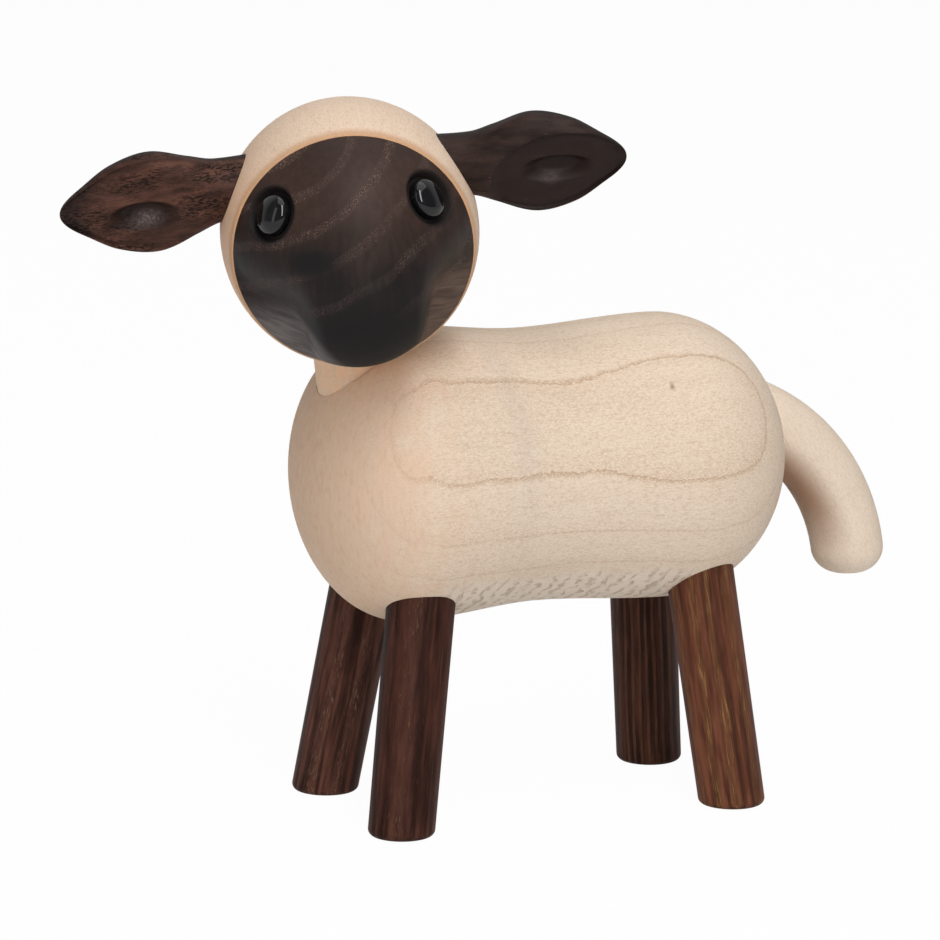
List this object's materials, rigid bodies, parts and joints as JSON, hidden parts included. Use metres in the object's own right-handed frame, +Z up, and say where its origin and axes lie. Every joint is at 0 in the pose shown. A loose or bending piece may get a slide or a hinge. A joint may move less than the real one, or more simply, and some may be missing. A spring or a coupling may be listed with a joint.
{
  "type": "sheep figurine",
  "caption": "Standing wooden sheep figurine with a turned body, splayed dowel legs, a bent tail, a dark carved face, leaf ears and an egg-shaped head that turns on its neck dowel.",
  "frame": {"origin": "middle of the four feet, on the ground", "axes": "+Z up; the sheep's body points along -Y, so +Y runs from the chest to the tail; +X is the sheep's left"},
  "size_m": [0.0518, 0.1347, 0.1105],
  "materials": {
    "maple": "pale, fine grained, sanded and lightly oiled",
    "smoked_ash": "heat-darkened, open pores, satin",
    "black_gloss": "polished black"
  },
  "bodies": {
    "body": {"body": "maple", "tail": "maple", "leg_front_left": "smoked_ash", "leg_front_right": "smoked_ash", "leg_rear_left": "smoked_ash", "leg_rear_right": "smoked_ash"},
    "head": {"head": "maple", "neck": "maple", "face": "smoked_ash", "ear_left": "smoked_ash", "ear_right": "smoked_ash", "eye_left": "black_gloss", "eye_right": "black_gloss"}
  },
  "joints": [
    {"name": "head_turn", "type": "hinge", "parent": "body", "child": "head", "pos_m": [0, -0.0277, 0.07], "axis": [0, -0.1305, 0.9914], "range_deg": [-160.5, 19.5]}
  ]
}
